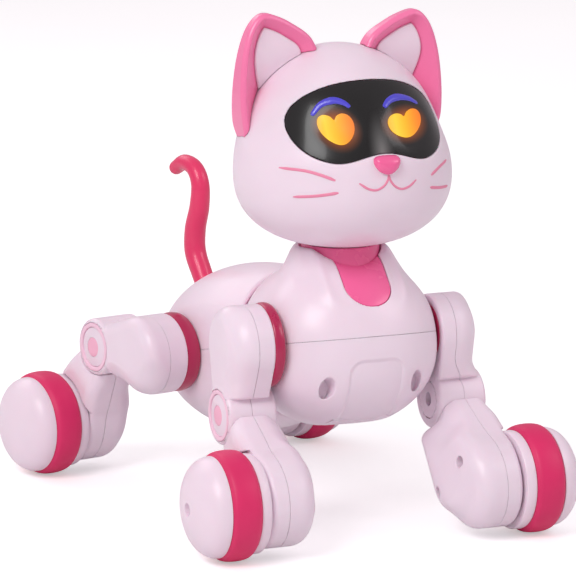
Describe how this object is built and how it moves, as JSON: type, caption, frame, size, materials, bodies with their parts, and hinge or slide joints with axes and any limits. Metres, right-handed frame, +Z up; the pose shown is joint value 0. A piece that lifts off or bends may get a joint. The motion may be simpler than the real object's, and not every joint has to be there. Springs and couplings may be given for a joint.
{
  "type": "robot cat toy",
  "caption": "Pale pink robot cat toy on jointed legs with a wheel on each foot, a turning head with a dark visor, a swinging rump and a curled tail.",
  "frame": {"origin": "on the floor, under the middle of the bounding box", "axes": "+Z up, -Y the way the toy faces, +X its own left"},
  "size_m": [0.2053, 0.2662, 0.2388],
  "materials": {
    "shell_plastic": "satin moulded ABS, very pale pink",
    "pink_plastic": "satin moulded ABS, pink",
    "deep_pink_plastic": "satin moulded ABS, deep pink",
    "pale_pink_plastic": "satin moulded ABS, light pink",
    "tyre_rubber": "soft matt rubber, deep pink",
    "tail_rubber": "soft flexible vinyl, pink",
    "visor_plastic": "high gloss smoked plastic, near black",
    "dark_plastic": "moulded, fine texture",
    "circuit_board": "solder mask",
    "battery_wrap": "shrink wrap",
    "motor_steel": "drawn steel can"
  },
  "bodies": {
    "chest": {"chest_upper_shell": "shell_plastic", "chest_lower_shell": "shell_plastic", "chest_bib": "pink_plastic", "battery_cover": "shell_plastic", "neck_collar": "pink_plastic", "waist_sleeve": "pale_pink_plastic", "waist_arm": "dark_plastic", "shoulder_gearbox": "dark_plastic", "main_board": "circuit_board", "battery_pack": "battery_wrap"},
    "head": {"head_face_shell": "shell_plastic", "head_back_shell": "shell_plastic", "visor": "visor_plastic", "eye_light_board": "circuit_board", "nose": "pink_plastic", "ear_rim_right": "pink_plastic", "ear_rim_left": "pink_plastic", "ear_inner_right": "shell_plastic", "ear_inner_left": "shell_plastic"},
    "rump": {"rump_upper_shell": "shell_plastic", "rump_lower_shell": "shell_plastic", "hip_gearbox": "dark_plastic", "speaker": "dark_plastic"},
    "tail": {"tail": "tail_rubber"},
    "power_switch": {"power_switch": "deep_pink_plastic"},
    "front_right_thigh": {"front_right_thigh_outer_shell": "shell_plastic", "front_right_thigh_inner_shell": "shell_plastic", "front_right_hip_disc": "deep_pink_plastic"},
    "front_right_shank": {"front_right_shank_outer_shell": "shell_plastic", "front_right_shank_inner_shell": "shell_plastic", "front_right_knee_cap": "pale_pink_plastic"},
    "front_right_wheel": {"front_right_wheel_hub": "shell_plastic", "front_right_tyre": "tyre_rubber"},
    "front_left_thigh": {"front_left_thigh_outer_shell": "shell_plastic", "front_left_thigh_inner_shell": "shell_plastic", "front_left_hip_disc": "deep_pink_plastic"},
    "front_left_shank": {"front_left_shank_outer_shell": "shell_plastic", "front_left_shank_inner_shell": "shell_plastic", "front_left_knee_cap": "pale_pink_plastic"},
    "front_left_wheel": {"front_left_wheel_hub": "shell_plastic", "front_left_tyre": "tyre_rubber"},
    "rear_right_thigh": {"rear_right_thigh_outer_shell": "shell_plastic", "rear_right_thigh_inner_shell": "shell_plastic", "rear_right_hip_disc": "deep_pink_plastic"},
    "rear_right_shank": {"rear_right_shank_outer_shell": "shell_plastic", "rear_right_shank_inner_shell": "shell_plastic", "rear_right_knee_cap": "pale_pink_plastic", "rear_right_wheel_motor": "motor_steel"},
    "rear_right_wheel": {"rear_right_wheel_hub": "shell_plastic", "rear_right_tyre": "tyre_rubber"},
    "rear_left_thigh": {"rear_left_thigh_outer_shell": "shell_plastic", "rear_left_thigh_inner_shell": "shell_plastic", "rear_left_hip_disc": "deep_pink_plastic"},
    "rear_left_shank": {"rear_left_shank_outer_shell": "shell_plastic", "rear_left_shank_inner_shell": "shell_plastic", "rear_left_knee_cap": "pale_pink_plastic", "rear_left_wheel_motor": "motor_steel"},
    "rear_left_wheel": {"rear_left_wheel_hub": "shell_plastic", "rear_left_tyre": "tyre_rubber"}
  },
  "joints": [
    {"name": "head_turn", "type": "hinge", "parent": "chest", "child": "head", "pos_m": [0.00905, -0.06093, 0.15], "axis": [0, 0, 1], "range_deg": [-60, 60]},
    {"name": "waist_swing", "type": "hinge", "parent": "chest", "child": "rump", "pos_m": [0.00905, 0.01197, 0.0816], "axis": [0, 0, 1], "range_deg": [-25.6, 2.4]},
    {"name": "tail_swivel", "type": "hinge", "parent": "rump", "child": "tail", "pos_m": [-0.00288, 0.07007, 0.08523], "axis": [-0.1064, 0.5184, 0.8485], "range_deg": [-35, 35]},
    {"name": "power_slide", "type": "slide", "parent": "rump", "child": "power_switch", "axis": [0.9796, 0.2011, 0], "range_m": [0, 0.006]},
    {"name": "front_right_hip", "type": "hinge", "parent": "chest", "child": "front_right_thigh", "pos_m": [0.00905, -0.06923, 0.0892], "axis": [1, 0, 0], "range_deg": [-56, 14]},
    {"name": "front_right_knee", "type": "hinge", "parent": "front_right_thigh", "child": "front_right_shank", "pos_m": [0.00905, -0.06592, 0.05757], "axis": [1, 0, 0], "range_deg": [-31.1, 74.9]},
    {"name": "front_right_wheel_spin", "type": "hinge", "parent": "front_right_shank", "child": "front_right_wheel", "pos_m": [0.00905, -0.10333, 0.025], "axis": [1, 0, 0], "continuous": true},
    {"name": "front_left_hip", "type": "hinge", "parent": "chest", "child": "front_left_thigh", "pos_m": [0.00905, -0.06923, 0.0892], "axis": [1, 0, 0], "range_deg": [-47.5, 22.5]},
    {"name": "front_left_knee", "type": "hinge", "parent": "front_left_thigh", "child": "front_left_shank", "pos_m": [0.00905, -0.0706, 0.05743], "axis": [1, 0, 0], "range_deg": [-39.3, 66.7]},
    {"name": "front_left_wheel_spin", "type": "hinge", "parent": "front_left_shank", "child": "front_left_wheel", "pos_m": [0.00905, -0.10813, 0.025], "axis": [1, 0, 0], "continuous": true},
    {"name": "rear_right_hip", "type": "hinge", "parent": "rump", "child": "rear_right_thigh", "pos_m": [0.00231, 0.04479, 0.066], "axis": [0.9796, 0.2011, 0], "range_deg": [-69.7, 35.3]},
    {"name": "rear_right_knee", "type": "hinge", "parent": "rear_right_thigh", "child": "rear_right_shank", "pos_m": [-0.00408, 0.07594, 0.0658], "axis": [0.9796, 0.2011, 0], "range_deg": [-31, 75]},
    {"name": "rear_right_wheel_spin", "type": "hinge", "parent": "rear_right_shank", "child": "rear_right_wheel", "pos_m": [-0.00975, 0.10356, 0.025], "axis": [0.9796, 0.2011, 0], "continuous": true},
    {"name": "rear_left_hip", "type": "hinge", "parent": "rump", "child": "rear_left_thigh", "pos_m": [0.00231, 0.04479, 0.066], "axis": [0.9796, 0.2011, 0], "range_deg": [-79.3, 25.7]},
    {"name": "rear_left_knee", "type": "hinge", "parent": "rear_left_thigh", "child": "rear_left_shank", "pos_m": [-0.004, 0.07553, 0.07113], "axis": [0.9796, 0.2011, 0], "range_deg": [-8.3, 97.7]},
    {"name": "rear_left_wheel_spin", "type": "hinge", "parent": "rear_left_shank", "child": "rear_left_wheel", "pos_m": [-0.00766, 0.09337, 0.025], "axis": [0.9796, 0.2011, 0], "continuous": true}
  ]
}
